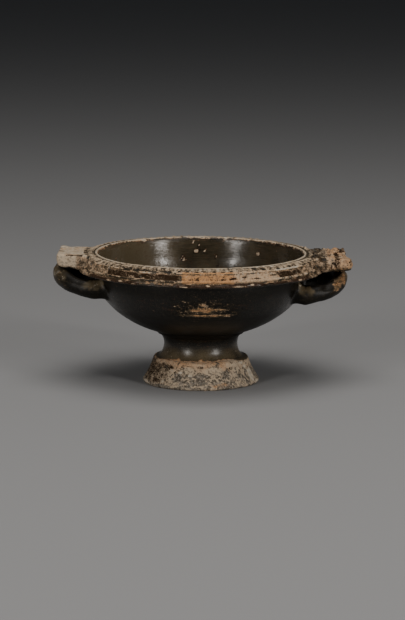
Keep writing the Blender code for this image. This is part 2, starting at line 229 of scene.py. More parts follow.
# Colours of the slip, of the fired clay and of what lies on them
SLIP_THICK = "#0d0b07"
# The olive of thin slip also paints the sheen inside the bowl.
SLIP_THIN_AND_SHEEN = "#584e3c"
SLIP_DUST = "#463f31"
SLIP_BROWN = "#452b1b"
SLIP_WORN = "#5b4933"
CLAY_CREAM = "#b5a48d"
CLAY_ORANGE = "#b08359"
CLAY_PALE = "#d3bea4"
# The dirty clay and the brown stain also colour the painted shade on the right plate.
CLAY_DIRTY_AND_SHADED = "#665649"
BROWN_STAIN_AND_SHADE = "#2c1f13"
CRUST_PALE = "#cbc0ae"
CRUST_DIRTY = "#868077"
CRUST_BLACK = "#3a352d"

# Colours of the studio, and the camera's place, its tilt down in degrees and its lens in mm
FLOOR_GREY = "#97989a"
LAMP_WHITE = "#fffaf4"
SKY_GREY = "#cfd2d6"
CAMERA_PLACE = (0.00003, -1.662, 0.3288)
CAMERA_TILT = 9.598
CAMERA_LENS = 146.0

# Fineness of the surface: points round the axis, and spacing of the rows along the profile
COLUMNS_UNDER_FOOT = 150
COLUMNS_PLAIN = 320
COLUMNS_MOULDINGS = 510
COLUMNS_EGGS = 10 * EGG_COUNT
ROW_UNDER_FOOT = 3.2 * MM
ROW_INSIDE = 2.0 * MM
ROW_WIDE = 1.35 * MM
ROW_MIDDLE = 0.9 * MM
ROW_MOULDINGS = 0.5 * MM
ROW_FINE = 0.42 * MM
LOOP_STEPS = 72
LOOP_SIDES = 26
PLATE_POINTS = 140
PLATE_RINGS = 15
CUT_CLEARANCE = 6.0 * MM

# Labels that tell the surfaces apart while the vessel is being put together
BODY, LOOP, PLATE, INSIDE = range(4)


def smooth_step(value):
    """Ease from 0 to 1, flat at both ends."""
    value = np.clip(value, 0.0, 1.0)
    return value * value * (3.0 - 2.0 * value)


def lean(points):
    """Tilt the bowl on its foot: points above the waist rise with their place on plan."""
    share = np.clip((points[:, 2] - WAIST_HEIGHT) / (BELLY_HEIGHT - WAIST_HEIGHT), 0.0, 1.0)
    points[:, 2] += share * (LEAN_X * points[:, 0] + LEAN_Y * points[:, 1])
    return points


def rounded(points, radius):
    """A line of (radius, height) points with its inner corners eased over a short length."""
    line = [points[0]]
    for before, corner, after in zip(points[:-2], points[1:-1], points[2:]):
        before, corner, after = (np.array(point) for point in (before, corner, after))
        back, ahead = before - corner, after - corner
        back *= min(radius / np.linalg.norm(back), 0.45)
        ahead *= min(radius / np.linalg.norm(ahead), 0.45)
        for share in (0.0, 0.35, 0.65, 1.0):
            line.append(tuple(corner + back * (1 - share) ** 2 + ahead * share ** 2))
    return line + [points[-1]]


def spaced(points, spacing):
    """The same line cut into even steps of about the spacing."""
    line = np.array(points)
    lengths = np.linalg.norm(np.diff(line, axis=0), axis=1)
    along = np.concatenate([[0.0], np.cumsum(lengths)])
    steps = max(2, round(along[-1] / spacing))
    places = np.linspace(0.0, along[-1], steps + 1)
    return np.column_stack([np.interp(places, along, line[:, axis]) for axis in (0, 1)])


def under_foot_line():
    """The hollow under the foot, from its middle to the standing ring."""
    return [(RING_INNER_RADIUS * share, HOLLOW_DEPTH * (1.0 - share ** HOLLOW_FULLNESS))
            for share in np.linspace(0.0, 1.0, 40)]


def foot_line():
    base_radius = FOOT_RADIUS - FOOT_EDGE_STEP
    base_height = FOOT_EDGE_HEIGHT + FOOT_EDGE_STEP
    points = [
        (RING_INNER_RADIUS, 0.0),
        (FOOT_RADIUS - FOOT_CHAMFER, 0.0),
        (FOOT_RADIUS, FOOT_CHAMFER),
        (FOOT_RADIUS, FOOT_EDGE_HEIGHT),
    ]
    for share in np.linspace(0.0, 1.0, 9):
        radius = base_radius + (BAND_TOP_RADIUS - base_radius) * share
        radius -= BAND_HOLLOW * math.sin(math.pi * share)
        points.append((radius, base_height + (BAND_HEIGHT - base_height) * share))
    points.append((STEM_FOOT_RADIUS, BAND_HEIGHT + FOOT_CHAMFER))
    return rounded(points, 0.5 * MM)


def stem_line():
    shoulder = BAND_HEIGHT + FOOT_CHAMFER
    points = []
    for angle in np.linspace(0.0, 0.5 * math.pi, 12):
        swell = (STEM_FOOT_RADIUS - STEM_WAIST_RADIUS) * (1.0 - math.sin(angle))
        height = WAIST_HEIGHT - (WAIST_HEIGHT - shoulder) * math.cos(angle)
        points.append((STEM_WAIST_RADIUS + swell, height))
    for angle in np.linspace(0.0, 0.5 * math.pi, 12)[1:]:
        swell = (COLLAR_RADIUS - STEM_WAIST_RADIUS) * (1.0 - math.cos(angle))
        height = WAIST_HEIGHT + (COLLAR_HEIGHT - WAIST_HEIGHT) * math.sin(angle)
        points.append((STEM_WAIST_RADIUS + swell, height))
    return points + [(COLLAR_RADIUS, COLLAR_HEIGHT + COLLAR_STEP)]


def bowl_line():
    points = []
    for angle in np.linspace(COLLAR_SHARE, 0.5 * math.pi, 60):
        points.append((BOWL_RADIUS * math.sin(angle), BELLY_HEIGHT - BOWL_DEPTH * math.cos(angle)))
    return points


def moulding_line():
    """Bead, cove, fillet and slanting face, from the rim's underside to its ridge."""
    share = RIDGE_DROP / (RIDGE_HEIGHT - FACE_FOOT)
    points = [
        (BOWL_RADIUS, BELLY_HEIGHT),
        (BEAD_RADIUS - BEAD_STEP, BELLY_HEIGHT - BEAD_UNDERCUT),
        (BEAD_RADIUS, BELLY_HEIGHT),
        (BEAD_RADIUS, COVE_FOOT - BEAD_SHOULDER),
        (FILLET_RADIUS - COVE_DEPTH, COVE_FOOT),
        (FILLET_RADIUS, FILLET_FOOT),
        (FILLET_RADIUS, FACE_FOOT),
        (RIDGE_RADIUS + FACE_FLARE, FACE_FOOT),
        (RIDGE_RADIUS + FACE_FLARE * share, RIDGE_HEIGHT - RIDGE_DROP),
        (RIDGE_RADIUS, RIDGE_HEIGHT),
    ]
    return rounded(points, 0.45 * MM)


def egg_band_line():
    points = []
    for share in np.linspace(1.0, 0.0, 24):
        height = RIDGE_HEIGHT + EGG_BAND_FALL * (1.0 - share ** EGG_BAND_ROUNDNESS)
        height += EGG_BAND_BULGE * math.sin(math.pi * share)
        points.append((EGG_BAND_START + EGG_BAND_WIDTH * share, height))
    return points


def lip_line():
    lip_outer = MOUTH_RADIUS + LIP_WIDTH
    points = [
        (EGG_BAND_START, LIP_HEIGHT - LIP_STAND),
        (lip_outer + 0.5 * GROOVE_WIDTH, LIP_HEIGHT - LIP_STAND - GROOVE_DEPTH),
        (lip_outer, LIP_HEIGHT - 0.3 * MM),
        (lip_outer - 0.5 * MM, LIP_HEIGHT),
        (MOUTH_RADIUS - 0.5 * MM, LIP_HEIGHT),
    ]
    return rounded(points, 0.35 * MM)


def inside_line():
    """The hollow's wall from above the floor's middle up to above the lip."""
    inner_radius = BOWL_RADIUS - BOWL_WALL
    depth = BOWL_DEPTH - BOWL_FLOOR
    points = []
    for angle in np.linspace(0.0, HOLLOW_SWEEP, 60):
        points.append((inner_radius * math.sin(angle), BELLY_HEIGHT - depth * math.cos(angle)))
    points.append((MOUTH_RADIUS - 0.2 * MM, LIP_HEIGHT - 1.2 * MM))
    points.append((MOUTH_RADIUS + 0.3 * MM, LIP_HEIGHT - 0.3 * MM))
    points.append((MOUTH_RADIUS + CUT_CLEARANCE, LIP_HEIGHT + CUT_CLEARANCE))
    return points


def add_rings(mesh, line, columns):
    """Rings of vertices along a line, from its second point on. The first is there already,
    as the end of the line before or as the middle of a fan."""
    rings = []
    angles = 2.0 * math.pi * np.arange(columns) / columns
    for radius, height in line[1:]:
        points = np.column_stack([
            radius * np.sin(angles), -radius * np.cos(angles), np.full(columns, height)])
        rings.append([mesh.verts.new(point) for point in lean(points)])
    return rings


def stitch(mesh, first, second, label):
    """Join two rings of any number of points with a belt of faces."""
    near, far = 0, 0
    while near < len(first) or far < len(second):
        a, b = first[near % len(first)], second[far % len(second)]
        near_turn = (near + 0.5) / len(first)
        far_turn = (far + 0.5) / len(second)
        if far >= len(second) or (near < len(first) and near_turn <= far_turn):
            face = mesh.faces.new((a, first[(near + 1) % len(first)], b))
            near += 1
        else:
            face = mesh.faces.new((a, second[(far + 1) % len(second)], b))
            far += 1
        face.material_index = label


def fan(mesh, ring, centre, label):
    tip = mesh.verts.new(centre)
    for index, corner in enumerate(ring):
        face = mesh.faces.new((corner, ring[(index + 1) % len(ring)], tip))
        face.material_index = label


def placed(name, data):
    thing = bpy.data.objects.new(name, data)
    bpy.context.scene.collection.objects.link(thing)
    return thing


def closed_piece(name, rings, first_centre, last_centre, mesh, label):
    """Close a stack of rings at both ends and turn it into an object."""
    for first, second in zip(rings[:-1], rings[1:]):
        stitch(mesh, first, second, label)
    fan(mesh, rings[0], first_centre, label)
    fan(mesh, rings[-1], last_centre, label)
    bmesh.ops.recalc_face_normals(mesh, faces=mesh.faces)
    data = bpy.data.meshes.new(name)
    mesh.to_mesh(data)
    mesh.free()
    return placed(name, data)


def turned_body():
    """The outside from the hollow under the foot up to the lip, filled across the mouth."""
    mesh = bmesh.new()
    rings = []
    for line, spacing, columns in (
            (under_foot_line(), ROW_UNDER_FOOT, COLUMNS_UNDER_FOOT),
            (foot_line(), ROW_MIDDLE, COLUMNS_PLAIN),
            (stem_line(), ROW_WIDE, COLUMNS_PLAIN),
            (bowl_line(), ROW_WIDE, COLUMNS_PLAIN),
            (moulding_line(), ROW_MOULDINGS, COLUMNS_MOULDINGS),
            (egg_band_line(), ROW_FINE, COLUMNS_EGGS),
            (lip_line(), ROW_MOULDINGS, COLUMNS_MOULDINGS)):
        rings += add_rings(mesh, spaced(line, spacing), columns)
    bottom, top = (0.0, 0.0, HOLLOW_DEPTH), (0.0, 0.0, LIP_HEIGHT)
    return closed_piece("krateriskos_surface", rings, bottom, top, mesh, BODY)


def hollow_cutter():
    mesh = bmesh.new()
    rings = add_rings(mesh, spaced(inside_line(), ROW_INSIDE), COLUMNS_PLAIN)
    bottom = (0.0, 0.0, BELLY_HEIGHT - BOWL_DEPTH + BOWL_FLOOR)
    top = (0.0, 0.0, LIP_HEIGHT + CUT_CLEARANCE)
    return closed_piece("hollow", rings, bottom, top, mesh, INSIDE)


def lift_share(angle):
    """Share of a loop's rise at an angle from its outermost point."""
    return (0.5 + 0.5 * math.cos(angle)) ** LOOP_LIFT_POWER


def loop_point(loop, angle):
    length = BEAD_RADIUS + loop["stand_out"] - LOOP_HALF_WIDTH - LOOP_CENTRE
    height = BELLY_HEIGHT - loop["root_drop"] + loop["rise"] * lift_share(angle)
    return np.array([
        LOOP_CENTRE + length * math.cos(angle), LOOP_SPREAD * math.sin(angle), height])


def loop_handle(loop):
    """A hand-rolled coil bent into a ring, with both ends pressed into the bowl."""
    mesh = bmesh.new()
    rings, centres = [], []
    turns = 2.0 * math.pi * (np.arange(LOOP_SIDES) + 0.5) / LOOP_SIDES
    for angle in np.linspace(-LOOP_SWEEP, LOOP_SWEEP, LOOP_STEPS + 1):
        middle = loop_point(loop, angle)
        ahead, behind = angle + LOOP_TANGENT_STEP, angle - LOOP_TANGENT_STEP
        way = loop_point(loop, ahead) - loop_point(loop, behind)
        way /= math.hypot(way[0], way[1])
        from_root = (abs(angle) / LOOP_SWEEP - LOOP_FLARE_START) / LOOP_FLARE_RUN
        flare = LOOP_ROOT_FLARE * smooth_step(from_root)
        half_width = LOOP_HALF_WIDTH + flare
        half_height = LOOP_HALF_HEIGHT + flare + LOOP_BEND_SWELL * lift_share(angle)
        shift = half_width * np.cos(turns)
        points = np.column_stack([
            loop["side"] * (middle[0] + shift * way[1]),
            middle[1] - shift * way[0],
            middle[2] + half_height * np.sin(turns)])
        rings.append([mesh.verts.new(point) for point in lean(points)])
        centres.append(lean(np.array([[loop["side"] * middle[0], middle[1], middle[2]]]))[0])
    return closed_piece("loop", rings, centres[0], centres[-1], mesh, LOOP)


def plate_outline(plate):
    """Plan of a plate: an arc behind the lip, straight sides, rounded corners, hollow end."""
    half_turn = math.asin(PLATE_ROOT_HALF_WIDTH / EGG_BAND_START)
    line = []
    for angle in np.linspace(half_turn, -half_turn, 15):
        line.append((EGG_BAND_START * math.cos(angle), EGG_BAND_START * math.sin(angle)))
    ends = []
    for corner, sign in (("front", -1), ("back", 1)):
        stand_out, half_width, rounding, _rise = plate[corner]
        reach = BEAD_RADIUS + stand_out
        arc = []
        for angle in np.linspace(0.5 * math.pi, 0.0, 9):
            out = reach - rounding + rounding * math.cos(angle)
            along = half_width - rounding + rounding * math.sin(angle)
            arc.append((out, sign * along))
        arc.append((reach - plate["end_hollow"], sign * (half_width - 2.0 * rounding)))
        ends.append(arc)
    line += ends[0] + ends[1][::-1]
    return line + line[:1]


def plate_levels(plate, out, along):
    """Heights of a plate's underside and upper side at a place on plan."""
    length = BEAD_RADIUS + plate["front"][0] - EGG_BAND_START
    share = (out - EGG_BAND_START) / length
    back = 0.5 + 0.5 * along / plate["back"][1]
    end_rise = plate["front"][3] + (plate["back"][3] - plate["front"][3]) * back
    top = LIP_HEIGHT - PLATE_ROOT_SINK * (1.0 - share) + end_rise * share
    underside = BELLY_HEIGHT + PLATE_ROOT_UNDERSIDE * (1.0 - share)
    return underside + plate["end_underside"] * share, top


def rim_plate(plate):
    """A flat slab with soft edges, drawn as rings that shrink to the middle above and below."""
    mesh = bmesh.new()
    outline = spaced(plate_outline(plate), 0.5 * MM)
    picks = np.linspace(0, len(outline) - 1, PLATE_POINTS, endpoint=False).astype(int)
    outline = outline[picks]
    middle = np.array([outline[:, 0].mean(), outline[:, 1].mean()])
    reach = np.linalg.norm(outline - middle, axis=1)
    rounding = plate["edge_rounding"]
    rows = []
    for share in np.linspace(0.0, 1.0, PLATE_RINGS + 1)[1:]:
        rows.append((share, 0.0))
    for angle in np.linspace(0.0, math.pi, 7)[1:-1]:
        rows.append((1.0, 0.5 - 0.5 * math.cos(angle)))
    for share in np.linspace(1.0, 0.0, PLATE_RINGS + 1)[:-1]:
        rows.append((share, 1.0))
    rings = []
    for share, climb in rows:
        plan = middle + (outline - middle) * share
        low, high = plate_levels(plate, plan[:, 0], plan[:, 1])
        from_edge = reach * (1.0 - share)
        ease = np.clip(1.0 - from_edge / rounding, 0.0, 1.0)
        easing = rounding * (1.0 - np.sqrt(1.0 - ease ** 2))
        level = np.where(climb < 0.5, low + easing, high - easing)
        if 0.0 < climb < 1.0:
            level = low + easing + (high - low - 2.0 * easing) * climb
        points = np.column_stack([plate["side"] * plan[:, 0], plan[:, 1], level])
        rings.append([mesh.verts.new(point) for point in lean(points)])
    centres = []
    for level in plate_levels(plate, middle[0], middle[1]):
        centres.append(lean(np.array([[plate["side"] * middle[0], middle[1], level]]))[0])
    return closed_piece("plate", rings, centres[0], centres[1], mesh, PLATE)


def combine(target, tool, operation):
    step = target.modifiers.new(tool.name, "BOOLEAN")
    step.operation = operation
    step.solver = "MANIFOLD"
    step.object = tool
    return tool


def joined_vessel(finish):
    """Body, loops and plates as one closed skin, with the hollow cut out."""
    vessel = turned_body()
    tools = [combine(vessel, loop_handle(loop), "UNION") for loop in (LEFT_LOOP, RIGHT_LOOP)]
    tools += [combine(vessel, rim_plate(plate), "UNION") for plate in (LEFT_PLATE, RIGHT_PLATE)]
    tools.append(combine(vessel, hollow_cutter(), "DIFFERENCE"))
    for thing in [vessel] + tools:
        for _label in range(4):
            thing.data.materials.append(finish)
    graph = bpy.context.evaluated_depsgraph_get()
    joined = bpy.data.meshes.new_from_object(vessel.evaluated_get(graph))
    old = vessel.data
    vessel.modifiers.clear()
    vessel.data = joined
    bpy.data.meshes.remove(old)
    for tool in tools:
        data = tool.data
        bpy.data.objects.remove(tool, do_unlink=True)
        bpy.data.meshes.remove(data)
    return vessel


def grain(points, size, seed):
    """Smooth noise about -1 to 1 whose features are about this size."""
    places = points / size + 17.3 * seed
    return np.array([noise.noise(place) for place in places.tolist()]) * 1.6


def ripple(points, size, seed):
    """Noise with two finer layers on top, for broken and crusted surfaces."""
    total = grain(points, size, seed) + 0.5 * grain(points, size / 2.1, seed + 1)
    return (total + 0.25 * grain(points, size / 4.3, seed + 2)) / 1.5


def ramp(value, start, end):
    return smooth_step((value - start) / (end - start))


def band(value, low, high, edge):
    """One between two limits, easing to nothing outside them."""
    return ramp(value, low - edge, low) * (1.0 - ramp(value, high, high + edge))


def read_all(items, name, width=1, kind=float):
    """One value or row of values for each of a mesh's items."""
    values = np.zeros(len(items) * width, dtype=kind)
    items.foreach_get(name, values)
    return values.reshape(-1, width) if width > 1 else values


class Skin:
    """The vessel's vertices with their place round the axis, filled in once for all marks."""

    def __init__(self, data):
        self.edges = read_all(data.edges, "vertices", 2, int)
        corners = read_all(data.loops, "vertex_index", 1, int)
        labels = read_all(data.polygons, "material_index", 1, int)
        sizes = read_all(data.polygons, "loop_total", 1, int)
        touched = np.zeros((len(data.vertices), 4))
        np.add.at(touched, (corners, np.repeat(labels, sizes)), 1.0)
        self.on = [touched[:, label] > 0 for label in range(4)]
        self.seam = (touched > 0).sum(axis=1) > 1
        self.measure(data)

    def measure(self, data):
        """Read every vertex's place and normal, and find its place round the axis."""
        self.points = read_all(data.vertices, "co", 3)
        self.normals = read_all(data.vertex_normals, "vector", 3)
        x, y, z = self.points.T
        self.radius = np.hypot(x, y)
        self.bearing = np.degrees(np.arctan2(x, -y))
        share = np.clip((z - WAIST_HEIGHT) / (BELLY_HEIGHT - WAIST_HEIGHT), 0.0, 1.0)
        self.height = z - share * (LEAN_X * x + LEAN_Y * y)
        self.ragged = 0.35 * grain(self.points, 1.9 * MM, 61)

    def neighbours_mean(self, values):
        """Mean over each vertex's neighbours."""
        first, second = self.edges.T
        total = np.zeros_like(values)
        count = np.zeros(len(values))
        for here, there in ((first, second), (second, first)):
            np.add.at(total, here, values[there])
            np.add.at(count, here, 1.0)
        return total / (count if values.ndim == 1 else count[:, None])

    def spot(self, bearing, height, half_width, half_height):
        """One well inside an oval on the wall, falling through a half at its edge to nothing."""
        turn = (self.bearing - bearing + 180.0) % 360.0 - 180.0
        across = np.radians(turn) * self.radius / (half_width * MM)
        up = (self.height - height * MM) / (half_height * MM)
        return np.clip(1.5 - np.hypot(across, up) + self.ragged, 0.0, 1.0)

    def arc(self, start, end, edge=2.0, wander=0.0):
        """One between two bearings, with soft ends that may wander by some degrees."""
        middle, half = 0.5 * (start + end), 0.5 * (end - start)
        turn = np.abs((self.bearing - middle + 180.0) % 360.0 - 180.0) + wander
        return 1.0 - ramp(turn, half - edge, half + edge)


def ease_seams(skin):
    """Wipe the joins of loops and plates smooth, as wet clay drawn over the seam."""
    lip = skin.on[INSIDE] & (skin.on[BODY] | skin.on[PLATE])
    for part, reach, spread, passes in ((PLATE, 3, 1.3, 5), (LOOP, 5, 1.9, 14)):
        weight = (skin.seam & skin.on[part] & ~lip).astype(float)
        for _step in range(reach):
            weight = np.maximum(weight, spread * skin.neighbours_mean(weight))
        weight = np.clip(weight, 0.0, 1.0)[:, None]
        for _step in range(passes):
            skin.points += 0.6 * weight * (skin.neighbours_mean(skin.points) - skin.points)


def egg_shape(skin):
    """Height of the eggs, the shells round them and the darts between, from 0 to 1."""
    inward = (RIDGE_RADIUS - skin.radius) / MM
    turn = np.radians(skin.bearing) * EGG_COUNT / (2.0 * math.pi)
    pitch = 2.0 * math.pi * (EGG_BAND_START + 0.5 * EGG_BAND_WIDTH) / EGG_COUNT / MM
    across = (turn - np.round(turn)) * pitch
    from_egg, from_shell = [np.hypot(across / half_width, (inward - place) / half_length)
                            for half_width, half_length, place in (EGG_OVAL, SHELL_OVAL)]
    egg = np.sqrt(np.clip(1.0 - from_egg ** 2, 0.0, 1.0))
    shell = 0.7 * np.exp(-((from_shell - 1.0) / 0.13) ** 2)
    dart = 0.5 * np.exp(-((np.abs(across) - 0.5 * pitch) / 0.3) ** 2) * ramp(inward, 1.4, 2.2)
    return np.maximum(np.maximum(egg, shell), dart)


def find_zones(skin):
    """How much each vertex belongs to each part of the vessel, and the noise it is worn by."""
    points, height, radius = skin.points, skin.height / MM, skin.radius / MM
    start, ridge = EGG_BAND_START / MM, RIDGE_RADIUS / MM
    fillet, bead = FILLET_RADIUS / MM, BEAD_RADIUS / MM
    shoulder, bowl = (BAND_HEIGHT + FOOT_CHAMFER) / MM, BOWL_RADIUS / MM
    cove, face_foot, ridge_top = COVE_FOOT / MM, FACE_FOOT / MM, RIDGE_HEIGHT / MM
    lip, belly = LIP_HEIGHT / MM, BELLY_HEIGHT / MM
    middle, small = grain(points, 9 * MM, 2), grain(points, 3.4 * MM, 3)
    body = (skin.on[BODY] & ~skin.on[LOOP] & ~skin.on[PLATE]).astype(float)
    slab = skin.on[PLATE].astype(float)
    under_foot = body * (height < HOLLOW_DEPTH / MM + 0.2) * (skin.normals[:, 2] < -0.05)
    under_foot *= radius < RING_INNER_RADIUS / MM + 0.2
    slip_end = SLIP_END - 1.9 * skin.arc(55, 140, 20) - 1.2 * skin.arc(-140, -42, 16)
    slip_end += 0.3 * middle + 0.25 * small
    rim = body * ramp(height, belly - 0.6, belly) * ramp(radius, bowl + 0.5, bowl + 1.5)
    upward = ramp(skin.normals[:, 2], 0.35, 0.6)
    return SimpleNamespace(
        broad=grain(points, 38 * MM, 1), middle=middle, small=small,
        fine=grain(points, 1.6 * MM, 4), broken=ripple(points, 4.5 * MM, 5),
        patchy=grain(points, 18 * MM, 11), wheel=grain(points * [0.05, 0.05, 1.0], 2.2 * MM, 8),
        slab=slab, left=slab * (points[:, 0] < 0), right=slab * (points[:, 0] > 0),
        loop=skin.on[LOOP].astype(float), inside=skin.on[INSIDE].astype(float),
        top=upward, rim=rim, hollow=under_foot,
        foot=body * (1.0 - under_foot) * (1.0 - ramp(height - slip_end, -0.3, 0.3)),
        wall=(body * ramp(height, shoulder, shoulder + 0.6)
              * (1.0 - ramp(height, belly - 0.5, belly))),
        eggs=(rim + slab * upward) * band(radius, start + 0.1, ridge, 0.4) * upward,
        ridge=(rim * band(radius, ridge - 0.3, ridge + 0.5, 0.3)
               * ramp(height, ridge_top - 1.0, ridge_top - 0.5)),
        face=(rim * ramp(radius, ridge + 0.3, ridge + 0.6)
              * band(height, face_foot + 0.2, ridge_top - 0.3, 0.3)),
        fillet=(rim * ramp(radius, fillet - 0.9, fillet - 0.5)
                * band(height, cove + 0.5, face_foot, 0.3)),
        bead=rim * ramp(radius, bead - 2.0, bead - 1.2) * (1.0 - ramp(height, cove - 0.6, cove)),
        lip=(body * ramp(height, lip - 1.0, lip - 0.4)
             * (1.0 - ramp(radius, start - 0.9, start - 0.5))))


def stand_out(skin, zone):
    """How far each vertex moves out from the turned form: thrower's marks, eggs and wear."""
    points, height = skin.points, skin.height / MM
    x, y, _z = points.T / MM
    reach, front, crowns = np.abs(x), y < 0, egg_shape(skin)
    worn = np.clip(0.45 + 0.45 * zone.patchy, 0.0, 1.0)
    move = 0.22 * zone.broad + 0.07 * zone.middle + 0.02 * zone.small
    move += (zone.wall + zone.inside) * 0.045 * zone.wheel
    move += zone.eggs * ((0.7 - 0.4 * worn) * crowns - 0.2) * (1.0 - 0.45 * zone.slab)
    move += zone.rim * (0.10 * zone.small + 0.07 * zone.fine)
    move += zone.bead * 0.35 * grain(points, 11 * MM, 41)
    gone = np.zeros(len(points))
    for start, end, depth in BEAD_BREAKS:
        gone = np.maximum(gone, depth * skin.arc(start, end, 1.5))
    move -= zone.bead * gone * np.clip(1.0 + 0.3 * zone.broken, 0.4, 1.3)
    nicks = np.clip(zone.broken - 0.5, 0.0, 1.0)
    move -= (zone.fillet + 0.5 * zone.face + zone.bead + zone.ridge) * 1.2 * nicks
    move += zone.loop * (0.18 * grain(points, 7 * MM, 21) + 0.06 * zone.small)

    knobbly = ripple(points, 2.6 * MM, 33)
    knobs_end = np.where(x < 0, LEFT_KNOBS_END, RIGHT_KNOBS_END)
    root = 1.0 - ramp(reach - knobs_end, 0.0, 1.5)
    near_plates = np.maximum(skin.arc(-80, -62, 3.0), skin.arc(62, 80, 3.0))
    zone.knobs = np.maximum(zone.rim * (height < RIDGE_HEIGHT / MM + 0.2) * near_plates,
                               zone.slab * root * (1.0 - zone.top))
    move += zone.knobs * 0.6 * knobbly + zone.slab * root * (1.0 - zone.top) * 0.4
    move += zone.left * (0.35 * grain(points, 6 * MM, 22) + 0.12 * zone.small)
    dished = band(reach, 81.0, 88.0, 4.0) * zone.top
    move -= zone.left * dished * 0.7
    worn_corner = ramp(-x, 91.0, 97.0) * (1.0 - ramp(height, 77.5, 83.5))
    move -= zone.left * worn_corner * front * 1.6
    lumps = np.clip(ripple(points, 4.2 * MM, 31), -0.3, 1.0)
    zone.lumps = zone.right * np.clip(lumps, 0.0, 1.0)
    rough = 1.0 - ramp(x, KNOB_START - 3.0, KNOB_START) * front
    move += zone.right * rough * (1.9 * lumps + 0.25 * zone.small)
    zone.pits = zone.right * rough * ramp(-lumps, 0.14, 0.34)
    arm = zone.loop * (x > 0) * front * ramp(skin.normals[:, 2], 0.1, 0.7)
    move -= arm * band(reach, 83.0, 92.0, 4.0) * 1.5
    dent = band(x, KNOB_START - 4.0, KNOB_START - 1.5, 1.2) * front
    zone.dent = zone.right * dent
    move -= zone.dent * 0.7
    for bearing, at, wide, tall, depth in FOOT_CHIPS:
        move -= zone.foot * depth * smooth_step(skin.spot(bearing, at, wide, tall))
    move += zone.foot * (0.10 * zone.small + 0.06 * zone.fine)
    chips = chip_cover(skin, zone)
    move -= 0.12 * smooth_step(chips * 2.0 - 0.5)
    zone.chips, zone.crowns = chips, crowns
    return move * ramp(height, 0.0, 0.8) * MM


def chip_cover(skin, zone):
    """Cover of the placed chips, one inside a chip and falling through a half at its edge."""
    cover = np.zeros(len(skin.points))
    for part, chips in (
            (zone.wall, BOWL_CHIPS), (zone.inside, INSIDE_CHIPS), (zone.face, FACE_CHIPS)):
        for chip in chips:
            cover = np.maximum(cover, part * skin.spot(*chip))
    return cover


class Coat:
    """Shares of bare clay, crust, thin slip, warm clay and dark stain at every vertex, from 0 to
    1, the stain also carrying painted shade. The coat functions below set them against the photo."""

    def __init__(self, skin):
        count = len(skin.points)
        self.skin = skin
        self.clay = np.full(count, 0.1)
        self.crust = np.full(count, 0.1)
        self.thin = np.full(count, 0.9)
        self.warm = np.full(count, 0.6)
        self.stain = np.zeros(count)

    def lay(self, where, **shares):
        """Blend the given shares in where the zone is."""
        for name, share in shares.items():
            old = getattr(self, name)
            setattr(self, name, old + (share - old) * where)

    def add_spots(self, name, where, spots, strength=1.0):
        """Raise a share in ovals given by bearing, height, half width and half height."""
        for oval in spots:
            spot = where * strength * self.skin.spot(*oval)
            setattr(self, name, np.maximum(getattr(self, name), spot))

    def lay_spots(self, where, spots, **shares):
        """Blend the given shares in over ovals with soft edges."""
        for oval in spots:
            self.lay(where * smooth_step(self.skin.spot(*oval)), **shares)


def coat_bowl(coat, skin, zone):
    """Slip on both sides of the wall, brown where it is thin, worn off in spots at the front; painted
    shade below the belly and under the rim, and a painted sheen inside.
    """
    height = skin.height / MM
    small, middle, broad = zone.small, zone.middle, zone.broad
    coat.lay(zone.wall, thin=0.35 + 0.2 * broad, clay=0.05 + 0.06 * middle, warm=0.1)
    coat.lay_spots(zone.wall, [(2.0, 58.0, 22.0, 9.0)], thin=0.95, clay=0.22)
    # Painted sheen: the inside is made a lighter olive towards its upper left.
    across = skin.points[:, 0] / MM + 9.0 * zone.patchy
    olive_sheen = (1.0 - ramp(across, -68.0, 0.0)) * ramp(height, 48.0, 70.0)
    coat.lay(zone.inside, thin=0.03 + 0.06 * broad, clay=0.08 + 0.08 * middle, crust=0.06,
             warm=0.48 + 0.95 * olive_sheen)
    # Painted shade: from 34 to 50 mm up, below the belly, the slip is set to its darkest with a duller
    # gloss.
    coat.lay(zone.wall * band(height, 34.0, 50.0, 5.0), clay=0.0, warm=0.0, thin=0.7)
    # Painted shade: under the rim, from 64 to 70 mm up, the slip is set to its darkest with a duller
    # gloss.
    coat.lay(zone.wall * ramp(height, 64.0, 70.0), clay=0.0, warm=0.0, thin=0.8)
    haze = zone.wall * (1.0 - ramp(height + 1.5 * middle, 20.0, 31.0))
    coat.lay(haze, warm=0.68 + 0.3 * middle, thin=0.38 + 0.2 * small, crust=0.2 + 0.12 * small)
    coat.clay = np.maximum(coat.clay, zone.chips * (0.9 - 0.28 * zone.wall))
    coat.lay(zone.wall * ramp(zone.chips, 0.2, 0.6), stain=0.2, warm=0.7)
    coat.lay(zone.inside * ramp(zone.chips, 0.2, 0.6), warm=0.1, crust=0.4)
    edge = zone.inside * ramp(height, 84.6, 86.3)
    coat.lay(edge, clay=0.28 + 0.24 * middle + 0.2 * small, warm=0.3, thin=0.7)


